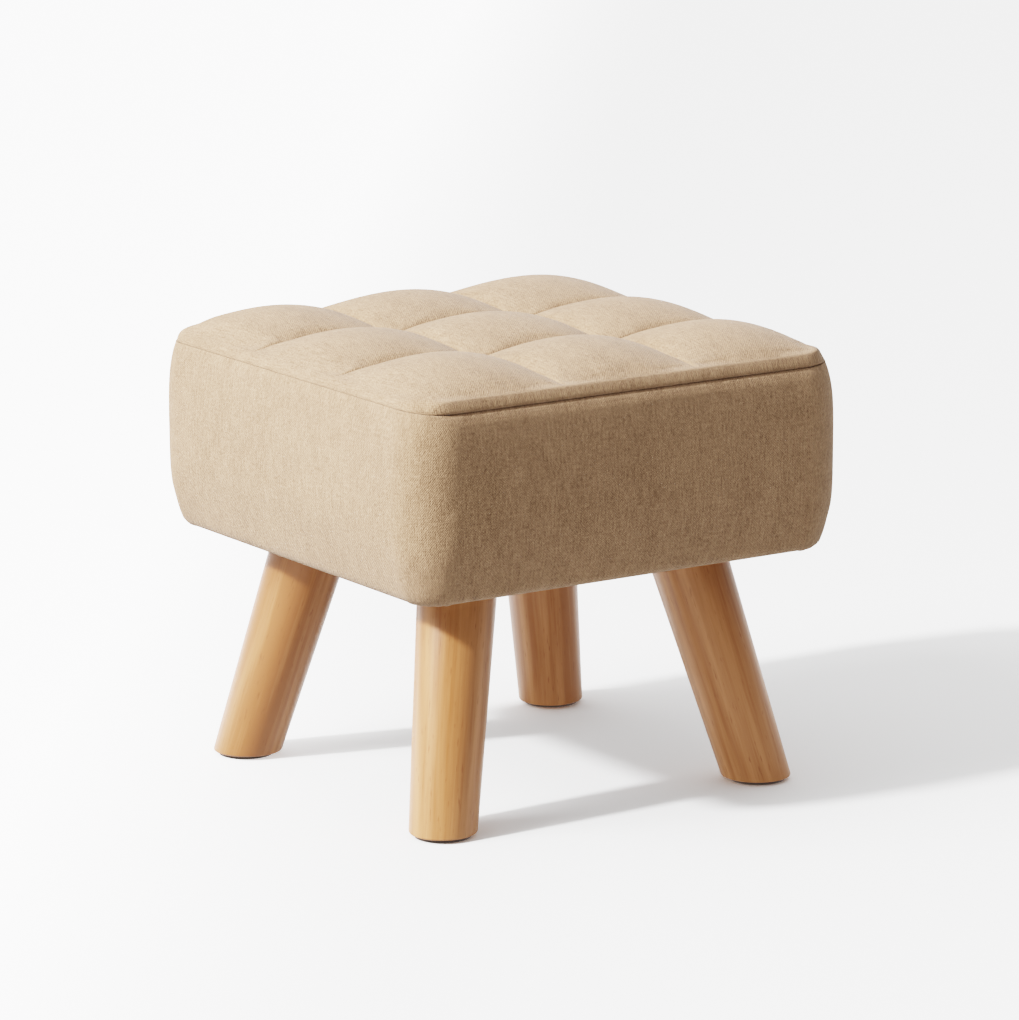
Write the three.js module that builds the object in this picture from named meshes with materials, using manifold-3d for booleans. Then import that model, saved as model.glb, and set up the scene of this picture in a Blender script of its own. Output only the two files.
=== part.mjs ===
// Square footstool: a quilted, foam-filled seat on four splayed, turned wooden legs.
// Millimetres, +Z up. The origin is on the floor under the centre of the seat, -Y is the front.

import * as THREE from 'three';
import { LoftGeometry } from 'three/addons/geometries/LoftGeometry.js';
import { mergeGeometries, mergeVertices } from 'three/addons/utils/BufferGeometryUtils.js';
import Module from 'manifold-3d';

const wasm = await Module();
wasm.setup();

// Seat, measured over the cloth
const seatWidth = 300;
const seatUnderside = 146;
const seamHeight = 260.5;
const seatCornerRadius = 20;
const bulgeHeight = 204;
const bulgePower = 4;
const seamInset = 3.3;
const wallFootInset = 2.1;
const underRollWidth = 9.5;
const underRollHeight = 14;

// Quilted top
const foldRise = 6.7;
const foldInset = 3.5;
const foldBellyRiseShare = 0.55;
const foldBellyInsetShare = 0.12;
const pillowsAcross = 3;
const shoulderRise = 5.2;
const shoulderWidth = 22;
const pillowPuff = 7.2;
const puffPower = 2.6;

// Cloth, foam and board
const coverThickness = 1.5;
const bandThickness = 1.4;
const flangeWidth = 20;
const boardThickness = 12;
const boardEdgeGap = 0.4;
const boardCornerEase = 6;
const leastCornerRadius = 7;
const waddingEdgeThickness = 5.2;
const dustCoverThickness = 0.6;
const dustCoverLapWidth = 10;
const dustCoverSlopeWidth = 5;

// Legs, each leaning out along its corner's diagonal
const legSplay = THREE.MathUtils.degToRad(17.6);
const legTopRadius = 23.7;
const legFootRadius = 20.3;
const legChamfer = 1.2;
const legTopGap = 1.5;

// Leg plates with a drawn boss that is tilted square to the leg
const plateWidth = 60;
const plateCornerRadius = 6;
const plateThickness = 2;
const plateEdgeGap = 1.7;
const bossMargin = 10;
const bossDraftWidth = 5;
const screwEdgeDistance = 7;

// Bolts, nuts, screws and pads
const boltRadius = 4;
const boltDepthInLeg = 30;
const boltPointLength = 1.5;
const nutWallThickness = 2.2;
const nutHeight = 5;
const screwRadius = 2;
const screwTipCover = 3;
const screwPointLength = 3;
const screwHeadRadius = 4;
const screwHeadHeight = 2.4;
const screwHeadCrownHeight = 0.7;
const feltThickness = 2;
const feltMargin = 3.3;
const feltEdgeChamfer = 0.5;

// Clearances
const nestGap = 0.3;
const foamGap = 0.5;
const cutOverrunLength = 2;
const weldDistance = 0.0001;

// Steps of curved forms
const cornerArcSteps = 5;
const hardwareArcSteps = 3;
const legSides = 32;
const bossSides = 24;
const boltSides = 14;
const screwSides = 10;
const feltSides = 28;
const rollSteps = 4;

// Shares that place the rings and nodes of soft surfaces
const lowerWallShares = [0, 0.12, 0.3, 0.6];
const upperWallShares = [0, 0.3, 0.55, 0.75, 0.88, 1];
const pillowNodeShares = [-1, -0.8, -0.45, 0, 0.45, 0.8];

// Sizes that follow from the ones above
const seatHalf = seatWidth / 2;
const foldHeight = seamHeight + foldRise;
const foldHalf = seatHalf - seamInset - foldInset;
const foldCornerRadius = seatCornerRadius - seamInset - foldInset;
const bandTop = seamHeight - nestGap / 2;
const skirtFoot = seamHeight + nestGap / 2;
const rollTop = seatUnderside + underRollHeight;
const flangeTop = seatUnderside + bandThickness;
const flangeInset = wallFootInset + underRollWidth + flangeWidth;
const boardUnderside = flangeTop + nestGap;
const boardTop = boardUnderside + boardThickness;
const foamUnderside = boardTop + nestGap;
const waddingUnderside = seamHeight - waddingEdgeThickness;
const foamTop = waddingUnderside - nestGap;
const boardInset = wallFootInset + underRollWidth + boardEdgeGap;
const boardCornerRadius = cornerRadiusAt(boardInset) + boardCornerEase;
const dustCoverTop = boardUnderside - nestGap;
const dustCoverUnderside = dustCoverTop - dustCoverThickness;
const dustCoverStepInset = flangeInset + foamGap;
const dustCoverFlatInset = dustCoverStepInset + dustCoverSlopeWidth;
const plateTop = dustCoverUnderside - nestGap;
const plateUnderside = plateTop - plateThickness;
const plateCentre = seatHalf - dustCoverFlatInset - plateEdgeGap - plateWidth / 2;
const plateReach = plateCentre * Math.SQRT2;
const bossRootRadius = plateWidth / 2 - bossMargin;
const bossFaceRadius = bossRootRadius - bossDraftWidth;
const screwReach = (plateWidth / 2 - screwEdgeDistance) * Math.SQRT2;
const screwTip = boardTop - screwTipCover;
const pilotRadius = screwRadius + nestGap;
const footReach = plateReach + (plateUnderside + plateThickness / 2) * Math.tan(legSplay);
const legTopHeight = plateUnderside - legTopGap - legTopRadius * Math.sin(legSplay);
const legLength = legTopHeight / Math.cos(legSplay);
const footLevel = feltThickness + nestGap;
const bossFace = legLength + nestGap;
const nutSeat = bossFace + plateThickness + nestGap;
const nutFlats = 2 * (boltRadius + nestGap + nutWallThickness);
const boltTip = nutSeat + nutHeight;
const feltRadius = legFootRadius - feltMargin;

// Colours and finishes
const linen = { color: 0xc9b291, roughness: 0.95, metalness: 0 };
const cream = { color: 0xe9e2cf, roughness: 0.95, metalness: 0 };
const white = { color: 0xf1f0ec, roughness: 1, metalness: 0 };
const plywood = { color: 0xcaa673, roughness: 0.75, metalness: 0 };
const blackCloth = { color: 0x1d1d1f, roughness: 0.9, metalness: 0 };
const lacqueredWood = { color: 0xc4925a, roughness: 0.42, metalness: 0 };
const zincSteel = { color: 0xb9bcc0, roughness: 0.35, metalness: 1 };
const darkFelt = { color: 0x3a3330, roughness: 1, metalness: 0 };

function piece(name, geometry, finish) {
  const mesh = new THREE.Mesh(geometry, new THREE.MeshStandardMaterial(finish));
  mesh.name = name;
  return mesh;
}

// A skin through rings or strips of points, with only its places kept, so that seams can be welded.
function loft(sections, options) {
  const skin = new THREE.BufferGeometry().copy(new LoftGeometry(sections, options));
  skin.deleteAttribute('normal');
  skin.deleteAttribute('uv');
  return skin;
}

// A closed geometry as a solid that can be joined and cut.
function solidOf(geometry) {
  geometry.deleteAttribute('normal');
  geometry.deleteAttribute('uv');
  const welded = mergeVertices(geometry, weldDistance);
  return new wasm.Manifold(new wasm.Mesh({
    numProp: 3,
    vertProperties: Float32Array.from(welded.attributes.position.array),
    triVerts: Uint32Array.from(welded.index.array),
  }));
}

function geometryOf(solid) {
  const mesh = solid.getMesh();
  const geometry = new THREE.BufferGeometry();
  geometry.setAttribute('position', new THREE.BufferAttribute(mesh.vertProperties, 3));
  geometry.setIndex(new THREE.BufferAttribute(mesh.triVerts, 1));
  geometry.computeVertexNormals();
  return geometry;
}

function roundedSquare(half, radius) {
  const shape = new THREE.Shape();
  const straight = half - radius;
  for (let corner = 0; corner < 4; corner += 1) {
    const start = corner * Math.PI / 2;
    const cornerX = straight * Math.SQRT2 * Math.cos(start + Math.PI / 4);
    const cornerY = straight * Math.SQRT2 * Math.sin(start + Math.PI / 4);
    shape.absarc(cornerX, cornerY, radius, start, start + Math.PI / 2, false);
  }
  return shape;
}

// One level ring of the seat's outline, drawn in from its widest line.
function seatRing(inset, height) {
  const outline = roundedSquare(seatHalf - inset, cornerRadiusAt(inset));
  return outline.getPoints(cornerArcSteps).map((point) => new THREE.Vector3(point.x, point.y, height));
}

function cornerRadiusAt(inset) {
  return Math.max(seatCornerRadius - inset, leastCornerRadius);
}

function circleRing(radius, sides, place) {
  const ring = [];
  for (let side = 0; side < sides; side += 1) {
    const angle = side * 2 * Math.PI / sides;
    ring.push(place(radius * Math.cos(angle), radius * Math.sin(angle)));
  }
  return ring;
}

// A turned form from its radius and height pairs, standing along +Z.
function turned(profile, sides) {
  const points = profile.map(([radius, height]) => new THREE.Vector2(radius, height));
  return new THREE.LatheGeometry(points, sides).rotateX(Math.PI / 2);
}

// A plain cutter along +Z, longer than what it cuts at both ends.
function drill(radius, from, to, sides) {
  const length = to - from;
  return new THREE.CylinderGeometry(radius, radius, length, sides)
    .rotateX(Math.PI / 2)
    .translate(0, 0, from + length / 2);
}

// How far the bulged side wall is drawn in at a height.
function wallInset(height) {
  if (height < bulgeHeight) {
    return wallFootInset * ((bulgeHeight - height) / (bulgeHeight - rollTop)) ** bulgePower;
  }
  return seamInset * ((height - bulgeHeight) / (seamHeight - bulgeHeight)) ** bulgePower;
}

function wallHeights(top) {
  const lower = lowerWallShares.map((share) => rollTop + share * (bulgeHeight - rollTop));
  const upper = upperWallShares.map((share) => bulgeHeight + share * (top - bulgeHeight));
  return [...lower, ...upper];
}

// Side band: one closed skin that goes up the outside, down the inside and under the board.
function makeSideBand() {
  const rings = [seatRing(flangeInset, seatUnderside)];
  for (let step = 0; step < rollSteps; step += 1) {
    const turn = step / rollSteps * Math.PI / 2;
    const inset = wallFootInset + underRollWidth * (1 - Math.sin(turn));
    rings.push(seatRing(inset, rollTop - underRollHeight * Math.cos(turn)));
  }
  const heights = wallHeights(bandTop);
  heights.forEach((height) => rings.push(seatRing(wallInset(height), height)));
  heights.reverse();
  heights.forEach((height) => rings.push(seatRing(wallInset(height) + bandThickness, height)));
  for (let step = rollSteps - 1; step >= 0; step -= 1) {
    const turn = step / rollSteps * Math.PI / 2;
    const width = underRollWidth - bandThickness;
    const rise = underRollHeight - bandThickness;
    const inset = wallFootInset + bandThickness + width * (1 - Math.sin(turn));
    rings.push(seatRing(inset, rollTop - rise * Math.cos(turn)));
  }
  rings.push(seatRing(flangeInset, flangeTop));
  rings.push(rings[0]);
  return loft(rings);
}

// Foam block: follows the inside of the side band.
function makeFoamBlock() {
  const levels = wallHeights(foamTop).filter((height) => height > foamUnderside);
  const rings = [foamUnderside, ...levels].map(
    (height) => seatRing(wallInset(height) + bandThickness + foamGap, height),
  );
  return loft(rings, { capStart: true, capEnd: true });
}

// Where the corner begins on the unit square that every layer of the top is laid out from.
const cornerStart = 1 - foldCornerRadius / foldHalf;

// A place on the unit square, laid out on a rounded square.
function planPoint(across, along, half, radius) {
  const straight = half - radius;
  const reachAcross = (Math.abs(across) - cornerStart) / (1 - cornerStart);
  const reachAlong = (Math.abs(along) - cornerStart) / (1 - cornerStart);
  const reach = Math.max(reachAcross, reachAlong);
  if (reachAcross <= 0 || reachAlong <= 0) {
    const sideways = (place, past) => (past > 0
      ? Math.sign(place) * (straight + radius * past)
      : place / cornerStart * straight);
    return new THREE.Vector2(sideways(across, reachAcross), sideways(along, reachAlong));
  }
  const lean = Math.min(reachAcross, reachAlong) / reach * Math.PI / 4;
  const angle = reachAcross > reachAlong ? lean : Math.PI / 2 - lean;
  return new THREE.Vector2(
    Math.sign(across) * (straight + radius * reach * Math.cos(angle)),
    Math.sign(along) * (straight + radius * reach * Math.sin(angle)),
  );
}

function shoulder(share) {
  const fromEdge = (1 - Math.abs(share)) * foldHalf;
  return Math.sin(Math.min(1, fromEdge / shoulderWidth) * Math.PI / 2);
}

function puff(share) {
  const place = (share + 1) / 2 * pillowsAcross;
  const fromMiddle = Math.abs(2 * (place - Math.floor(place)) - 1);
  return 1 - fromMiddle ** puffPower;
}

// A point of the quilted surface, at a depth under its outer face.
function topPoint(across, along, depth) {
  const plan = planPoint(across, along, foldHalf - depth, foldCornerRadius - depth);
  const rise = shoulderRise * shoulder(across) * shoulder(along);
  const crown = pillowPuff * puff(across) * puff(along);
  return new THREE.Vector3(plan.x, plan.y, foldHeight + rise + crown - depth);
}

// Nodes across the top: each pillow's own, with closer ones at the rounded corners.
function nodesAcross() {
  const cornerMiddle = (1 + cornerStart) / 2;
  const nodes = [-1, -cornerMiddle, -cornerStart];
  for (let pillow = 0; pillow < pillowsAcross; pillow += 1) {
    for (const share of pillowNodeShares) {
      const node = (2 * pillow + 1 + share) / pillowsAcross - 1;
      if (Math.abs(node) < cornerStart * cornerMiddle) {
        nodes.push(node);
      }
    }
  }
  nodes.push(cornerStart, cornerMiddle, 1);
  return nodes;
}

const topNodes = nodesAcross();

function topSheet(depth) {
  const strips = topNodes.map((along) => topNodes.map((across) => topPoint(across, along, depth)));
  return loft(strips, { closed: false });
}

// The edge of the top, counterclockwise, as places on the unit square.
function edgePlaces() {
  const places = [];
  const onward = topNodes.slice(0, -1);
  onward.forEach((node) => places.push([node, -1]));
  onward.forEach((node) => places.push([1, node]));
  onward.forEach((node) => places.push([-node, 1]));
  onward.forEach((node) => places.push([-1, -node]));
  return places;
}

function edgeRing(inset, height) {
  return edgePlaces().map(([across, along]) => {
    const plan = planPoint(across, along, seatHalf - inset, seatCornerRadius - inset);
    return new THREE.Vector3(plan.x, plan.y, height);
  });
}

function foldRing(depth) {
  return edgePlaces().map(([across, along]) => topPoint(across, along, depth));
}

// Rings of the folded skirt from the seam up to the fold, at a depth inside its outer face.
function skirtRings(footHeight, depth) {
  const bellyInset = seamInset + foldBellyInsetShare * foldInset;
  const bellyHeight = seamHeight + foldBellyRiseShare * foldRise;
  return [
    edgeRing(seamInset + depth, footHeight),
    edgeRing(bellyInset + depth, bellyHeight),
    foldRing(depth),
  ];
}

function closedSkin(...sheets) {
  const skin = mergeVertices(mergeGeometries(sheets), weldDistance);
  skin.computeVertexNormals();
  return skin;
}

// The same skin, facing the other way and split along the same diagonals.
function turnedOver(skin) {
  const corners = skin.index;
  for (let first = 0; first < corners.count; first += 3) {
    const second = corners.getX(first + 1);
    corners.setX(first + 1, corners.getX(first + 2));
    corners.setX(first + 2, second);
  }
  return skin;
}

// Quilted top panel: outer face with its skirt down to the seam, and the same again inside.
function makeTopCover() {
  const outside = skirtRings(skirtFoot, 0);
  const inside = skirtRings(skirtFoot, coverThickness);
  return closedSkin(
    topSheet(0),
    loft(outside),
    loft([inside[0], outside[0]]),
    turnedOver(loft(inside)),
    turnedOver(topSheet(coverThickness)),
  );
}

// Soft layer under the panel, with the same squares and a flat underside on the foam.
function makeTopWadding() {
  const depth = coverThickness + nestGap;
  const foot = edgeRing(seamInset + depth, waddingUnderside);
  const side = skirtRings(skirtFoot, depth);
  return closedSkin(
    topSheet(depth),
    loft(side),
    loft([foot, side[0]], { capStart: true }),
  );
}

// The seat's corners, counterclockwise as their frames turn about the middle.
const corners = ['back_right', 'back_left', 'front_left', 'front_right'];

function cornerTurn(index) {
  return (index + 1 / 2) * 2 * Math.PI / corners.length;
}

// Places of one plate's screws in its corner's frame, one near each corner of the plate.
function screwPlaces() {
  const places = [];
  for (let side = 0; side < 4; side += 1) {
    const angle = side * Math.PI / 2;
    const place = new THREE.Vector2(plateReach, 0);
    place.x += screwReach * Math.cos(angle);
    place.y += screwReach * Math.sin(angle);
    places.push(place);
  }
  return places;
}

// The same drill at every screw of all four plates.
function drillAllScrews(solid, radius, from, to) {
  let drilled = solid;
  corners.forEach((corner, index) => {
    for (const place of screwPlaces()) {
      const cutter = drill(radius, from, to, screwSides)
        .translate(place.x, place.y, 0)
        .rotateZ(cornerTurn(index));
      drilled = drilled.subtract(solidOf(cutter));
    }
  });
  return drilled;
}

// Base board with a blind pilot hole for each screw.
function makeSeatBoard() {
  const outline = roundedSquare(seatHalf - boardInset, boardCornerRadius);
  const board = new THREE.ExtrudeGeometry(outline, {
    depth: boardThickness,
    bevelEnabled: false,
    curveSegments: cornerArcSteps,
  });
  board.translate(0, 0, boardUnderside);
  const from = boardUnderside - cutOverrunLength;
  return geometryOf(drillAllScrews(solidOf(board), pilotRadius, from, screwTip + nestGap));
}

// The space over a level of the dust cover: flat in the middle, stepped down over the flange.
function steppedForm(drop, spread) {
  const lapInset = flangeInset - dustCoverLapWidth - spread;
  const lapLevel = seatUnderside - nestGap - drop;
  const rings = [
    seatRing(lapInset, lapLevel - cutOverrunLength),
    seatRing(lapInset, lapLevel),
    seatRing(dustCoverStepInset, lapLevel),
    seatRing(dustCoverFlatInset, dustCoverTop - drop),
  ];
  return solidOf(loft(rings, { capStart: true, capEnd: true }));
}

// Dust cover: one sheet, pierced by every screw.
function makeDustCover() {
  const sheet = steppedForm(0, 0).subtract(steppedForm(dustCoverThickness, cutOverrunLength));
  const from = dustCoverUnderside - cutOverrunLength;
  return geometryOf(drillAllScrews(sheet, pilotRadius, from, dustCoverTop + cutOverrunLength));
}

// Leg in its own frame: +Z runs up the leg from the floor, +X is the outward side.
function legRadiusAt(along) {
  return legFootRadius + (legTopRadius - legFootRadius) * along / legLength;
}

// A ring where the taper meets a level plane, so the foot stands flat on the floor.
function levelLegRing(level, trim) {
  const taper = (legTopRadius - legFootRadius) / legLength;
  const radius = legFootRadius - trim;
  return circleRing(1, legSides, (towardsX, towardsY) => {
    const lean = towardsX * Math.sin(legSplay);
    const along = (level - radius * lean) / (Math.cos(legSplay) + taper * lean);
    const reach = radius + taper * along;
    return new THREE.Vector3(reach * towardsX, reach * towardsY, along);
  });
}

function squareRing(radius, along) {
  return circleRing(radius, legSides, (x, y) => new THREE.Vector3(x, y, along));
}

function makeLeg() {
  const shoulderAlong = legLength - legChamfer;
  const rings = [
    levelLegRing(footLevel, legChamfer),
    levelLegRing(footLevel + legChamfer, 0),
    squareRing(legRadiusAt(shoulderAlong), shoulderAlong),
    squareRing(legTopRadius - legChamfer, legLength),
  ];
  const body = solidOf(loft(rings, { capStart: true, capEnd: true }));
  const boreEnd = legLength - boltDepthInLeg - nestGap;
  const bore = drill(boltRadius + nestGap, boreEnd, legLength + cutOverrunLength, boltSides);
  return geometryOf(body.subtract(solidOf(bore)));
}

function makeHangerBolt() {
  const start = legLength - boltDepthInLeg;
  return turned([
    [0, start],
    [boltRadius - boltPointLength, start],
    [boltRadius, start + boltPointLength],
    [boltRadius, boltTip - boltPointLength / 2],
    [boltRadius - boltPointLength / 2, boltTip],
    [0, boltTip],
  ], boltSides);
}

function makePlateNut() {
  const hexagon = new THREE.Shape();
  const corner = nutFlats / Math.sqrt(3);
  for (let side = 0; side < 6; side += 1) {
    const angle = side * Math.PI / 3;
    const method = side === 0 ? 'moveTo' : 'lineTo';
    hexagon[method](corner * Math.cos(angle), corner * Math.sin(angle));
  }
  const bore = new THREE.Path();
  bore.absarc(0, 0, boltRadius + nestGap, 0, 2 * Math.PI, true);
  hexagon.holes.push(bore);
  const nut = new THREE.ExtrudeGeometry(hexagon, {
    depth: nutHeight,
    bevelEnabled: false,
    curveSegments: boltSides / 2,
  });
  return nut.translate(0, 0, nutSeat);
}

// A point of the leg's frame, seen from the corner's frame, which isn't tilted.
function fromLeg(x, y, along) {
  return new THREE.Vector3(
    footReach + x * Math.cos(legSplay) - along * Math.sin(legSplay),
    y,
    x * Math.sin(legSplay) + along * Math.cos(legSplay),
  );
}

// The drawn boss, from its tilted face up to a level mouth.
function bossForm(faceRadius, faceAlong, rootRadius, rootLevel) {
  const face = circleRing(faceRadius, bossSides, (x, y) => fromLeg(x, y, faceAlong));
  const root = circleRing(rootRadius, bossSides, (x, y) => new THREE.Vector3(plateReach + x, y, rootLevel));
  return solidOf(loft([face, root], { capStart: true, capEnd: true }));
}

// Leg plate in its corner's frame: +X points out along the diagonal.
function makeLegPlate() {
  const outline = roundedSquare(plateWidth / 2, plateCornerRadius);
  const sheet = new THREE.ExtrudeGeometry(outline, {
    depth: plateThickness,
    bevelEnabled: false,
    curveSegments: hardwareArcSteps,
  });
  sheet.rotateZ(Math.PI / 4).translate(plateReach, 0, plateUnderside);
  const outer = bossForm(bossFaceRadius, bossFace, bossRootRadius, plateTop - plateThickness / 2);
  const inner = bossForm(
    bossFaceRadius - plateThickness,
    bossFace + plateThickness,
    bossRootRadius - plateThickness,
    plateTop + cutOverrunLength,
  );
  const throatEnd = bossFace + plateThickness + cutOverrunLength;
  const throat = drill(boltRadius + nestGap, bossFace - cutOverrunLength, throatEnd, boltSides)
    .rotateY(-legSplay)
    .translate(footReach, 0, 0);
  let plate = solidOf(sheet).add(outer).subtract(inner).subtract(solidOf(throat));
  for (const place of screwPlaces()) {
    const hole = drill(pilotRadius, plateUnderside - cutOverrunLength, plateTop + cutOverrunLength, screwSides);
    plate = plate.subtract(solidOf(hole.translate(place.x, place.y, 0)));
  }
  return geometryOf(plate);
}

// Pan-head screw, driven up from under the plate.
function makePlateScrew() {
  const headTop = plateUnderside - nestGap;
  const headRim = headTop - screwHeadHeight + screwHeadCrownHeight;
  return turned([
    [0, headTop - screwHeadHeight],
    [screwHeadRadius - 2 * screwHeadCrownHeight, headTop - screwHeadHeight],
    [screwHeadRadius, headRim],
    [screwHeadRadius, headTop],
    [screwRadius, headTop],
    [screwRadius, screwTip - screwPointLength],
    [0, screwTip],
  ], screwSides);
}

function makeFeltPad() {
  return turned([
    [0, 0],
    [feltRadius - feltEdgeChamfer, 0],
    [feltRadius, feltEdgeChamfer],
    [feltRadius, feltThickness],
    [0, feltThickness],
  ], feltSides);
}

// One corner: plate, screws, pad, and the tilted leg with its bolt and nut.
function makeCorner(corner, turn) {
  const group = new THREE.Group();
  group.rotation.z = turn;
  group.add(piece(`leg_plate_${corner}`, makeLegPlate(), zincSteel));
  screwPlaces().forEach((place, number) => {
    const screw = piece(`plate_screw_${corner}_${number + 1}`, makePlateScrew(), zincSteel);
    screw.position.set(place.x, place.y, 0);
    group.add(screw);
  });
  const pad = piece(`felt_pad_${corner}`, makeFeltPad(), darkFelt);
  pad.position.x = footReach;
  group.add(pad);
  const tilted = new THREE.Group();
  tilted.position.x = footReach;
  tilted.rotation.y = -legSplay;
  tilted.add(piece(`leg_${corner}`, makeLeg(), lacqueredWood));
  tilted.add(piece(`hanger_bolt_${corner}`, makeHangerBolt(), zincSteel));
  tilted.add(piece(`plate_nut_${corner}`, makePlateNut(), zincSteel));
  group.add(tilted);
  return group;
}

const footstool = new THREE.Group();
footstool.name = 'footstool';
footstool.add(piece('seat_board', makeSeatBoard(), plywood));
footstool.add(piece('foam_block', makeFoamBlock(), cream));
footstool.add(piece('top_wadding', makeTopWadding(), white));
footstool.add(piece('top_cover', makeTopCover(), linen));
footstool.add(piece('side_band', makeSideBand(), linen));
footstool.add(piece('dust_cover', makeDustCover(), blackCloth));
corners.forEach((corner, index) => footstool.add(makeCorner(corner, cornerTurn(index))));

export default footstool;
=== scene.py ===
# Square quilted footstool on four splayed wooden legs, dressed for a studio picture.
# Metres, +Z up, -Y the front. The origin is on the floor under the middle of the seat.
import math
import random

import bmesh
import bpy
from mathutils import Euler, Matrix, Vector, noise


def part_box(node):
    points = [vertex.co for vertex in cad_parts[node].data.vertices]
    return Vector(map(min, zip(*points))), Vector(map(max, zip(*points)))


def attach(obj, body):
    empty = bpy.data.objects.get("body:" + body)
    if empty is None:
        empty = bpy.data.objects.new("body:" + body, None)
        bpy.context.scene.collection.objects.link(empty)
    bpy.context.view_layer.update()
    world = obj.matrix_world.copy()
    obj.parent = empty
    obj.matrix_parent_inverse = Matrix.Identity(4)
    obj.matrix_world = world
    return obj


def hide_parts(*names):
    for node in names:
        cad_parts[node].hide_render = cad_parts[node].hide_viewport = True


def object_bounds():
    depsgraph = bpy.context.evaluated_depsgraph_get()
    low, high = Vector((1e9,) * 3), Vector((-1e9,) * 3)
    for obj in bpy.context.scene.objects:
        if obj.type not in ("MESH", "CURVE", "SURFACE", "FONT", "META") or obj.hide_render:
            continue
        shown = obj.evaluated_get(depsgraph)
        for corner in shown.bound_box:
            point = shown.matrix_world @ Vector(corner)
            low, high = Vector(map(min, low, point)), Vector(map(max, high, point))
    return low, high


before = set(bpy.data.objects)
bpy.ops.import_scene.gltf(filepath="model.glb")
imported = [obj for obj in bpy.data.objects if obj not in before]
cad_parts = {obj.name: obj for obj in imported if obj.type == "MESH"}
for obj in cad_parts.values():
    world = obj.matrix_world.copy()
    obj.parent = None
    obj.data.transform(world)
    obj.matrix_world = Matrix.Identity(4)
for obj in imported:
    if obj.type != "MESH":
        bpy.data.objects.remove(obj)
cad_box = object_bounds()
scene = bpy.context.scene
mm = 0.001

# Camera: a long lens, far off and low, that looks at the near corner a little from above.
# It stands to the left of the front, so the left face is seen shorter than the front one.
camera_turn = math.radians(-33.12)
camera_lift = math.radians(12.46)
camera_roll = math.radians(-0.29)
camera_distance = 3.3
camera_aim = Vector((0, 0, 0.14))
camera_slide = Vector((6.94 * mm, 20.59 * mm, camera_distance))
lens_length = 190.69
sensor_width = 36
farthest_seen = 100

facing = Matrix.Rotation(camera_turn, 4, "Z") @ Matrix.Rotation(math.pi / 2 - camera_lift, 4, "X")
rolled = facing @ Matrix.Rotation(camera_roll, 4, "Z")
unrolled_back = facing.to_3x3() @ Vector((0, 0, camera_slide.z))
sideways = rolled.to_3x3() @ Vector((camera_slide.x, camera_slide.y, 0))
camera = bpy.data.objects.new("studio_camera", bpy.data.cameras.new("studio_camera"))
camera.data.lens = lens_length
camera.data.sensor_width = sensor_width
camera.data.clip_end = farthest_seen
camera.matrix_world = Matrix.Translation(camera_aim + unrolled_back + sideways) @ rolled
scene.collection.objects.link(camera)
scene.camera = camera

# Light and air: a far lamp from the left that draws the shadows, a wide one near it that softens them,
# and pale air that fills them. The air is brightest above and behind, so the front stays shaded.
scene.view_settings.view_transform = "Filmic"
scene.view_settings.look = "High Contrast"
light_travel = Vector((1.36, -0.165, -1))
light_strength = 6.2
light_softness = math.radians(4.5)
wide_place = Vector((-1.30, 0.25, 1.22))
wide_power = 33
wide_width = 0.9
air_above = 1.12
air_below = 0.92
air_behind = 0.8
horizon_blur = 0.25


class Flow:
    """What comes out of one socket. Arithmetic on it adds Math nodes to its recipe."""

    def __init__(self, recipe, socket):
        self.recipe = recipe
        self.socket = socket

    def math(self, operation, *values):
        sockets = dict(enumerate((self, *values)))
        return self.recipe.node("ShaderNodeMath", {"operation": operation}, sockets)["Value"]

    def __add__(self, other):
        return self.math("ADD", other)

    def __mul__(self, other):
        return self.math("MULTIPLY", other)

    def __sub__(self, other):
        return self.math("SUBTRACT", other)

    def __rsub__(self, other):
        return self * -1 + other

    def __pow__(self, other):
        return self.math("POWER", other)

    def clamped(self):
        return self.math("MAXIMUM", 0.0).math("MINIMUM", 1.0)

    __radd__ = __add__
    __rmul__ = __mul__


class Recipe:
    """The nodes of one finish, written as expressions."""

    def __init__(self, tree):
        self.tree = tree
        tree.nodes.clear()

    def node(self, kind, settings=None, sockets=None):
        made = self.tree.nodes.new(kind)
        for name, value in (settings or {}).items():
            setattr(made, name, value)
        for name, value in (sockets or {}).items():
            if isinstance(value, Flow):
                self.tree.links.new(value.socket, made.inputs[name])
            else:
                made.inputs[name].default_value = value
        return {output.name: Flow(self, output) for output in made.outputs if output.enabled}

    def mix(self, share, first, second):
        settings = {"data_type": "RGBA", "blend_type": "MIX", "clamp_factor": True}
        return self.node("ShaderNodeMix", settings, {0: share, 6: first, 7: second})["Result"]

    def stretched(self, place, scale):
        return self.node("ShaderNodeVectorMath", {"operation": "MULTIPLY"}, {0: place, 1: scale})["Vector"]

    def shifted(self, place, way):
        return self.node("ShaderNodeVectorMath", {"operation": "ADD"}, {0: place, 1: way})["Vector"]

    def grain(self, place, scale, detail, roughness=0.5):
        """Noise from 0 to 1 whose lumps are about 1 / scale long on each axis."""
        return self.node("ShaderNodeTexNoise", {}, {
            "Vector": self.stretched(place, scale), "Scale": 1, "Detail": detail,
            "Roughness": roughness})["Fac"]

    def bump(self, height, strength, depth):
        return self.node("ShaderNodeBump", {}, {
            "Height": height, "Strength": strength, "Distance": depth})["Normal"]

    def own_place(self):
        return self.node("ShaderNodeTexCoord")["Object"]

    def parts(self, place):
        return self.node("ShaderNodeSeparateXYZ", {}, {"Vector": place})


far_lamp = bpy.data.objects.new("far_lamp", bpy.data.lights.new("far_lamp", "SUN"))
far_lamp.data.energy = light_strength
far_lamp.data.angle = light_softness
far_lamp.rotation_euler = light_travel.to_track_quat("-Z", "Y").to_euler()
scene.collection.objects.link(far_lamp)

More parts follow.
